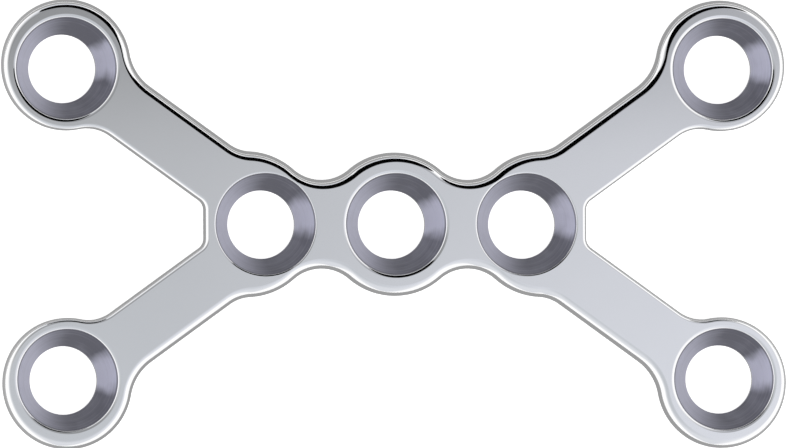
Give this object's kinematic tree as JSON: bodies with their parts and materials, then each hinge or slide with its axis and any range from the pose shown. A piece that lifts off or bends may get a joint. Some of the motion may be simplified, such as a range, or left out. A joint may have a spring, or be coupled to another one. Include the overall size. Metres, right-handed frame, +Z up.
{
  "type": "bone plate",
  "caption": "Small flat double-Y bone plate: a straight row of countersunk screw holes with forked arms at both ends, each ending in a holed eyelet.",
  "frame": {"origin": "under the middle hole, at the center of the flat underside", "axes": "+X along the plate from fork to fork, +Y across it, +Z up, out of the countersunk top"},
  "size_m": [0.03, 0.0168, 0.0012],
  "materials": {
    "polished_steel": "mirror-polished all over, with turned countersinks that show fine rings"
  },
  "bodies": {
    "root": {"bone_plate": "polished_steel"}
  },
  "joints": []
}
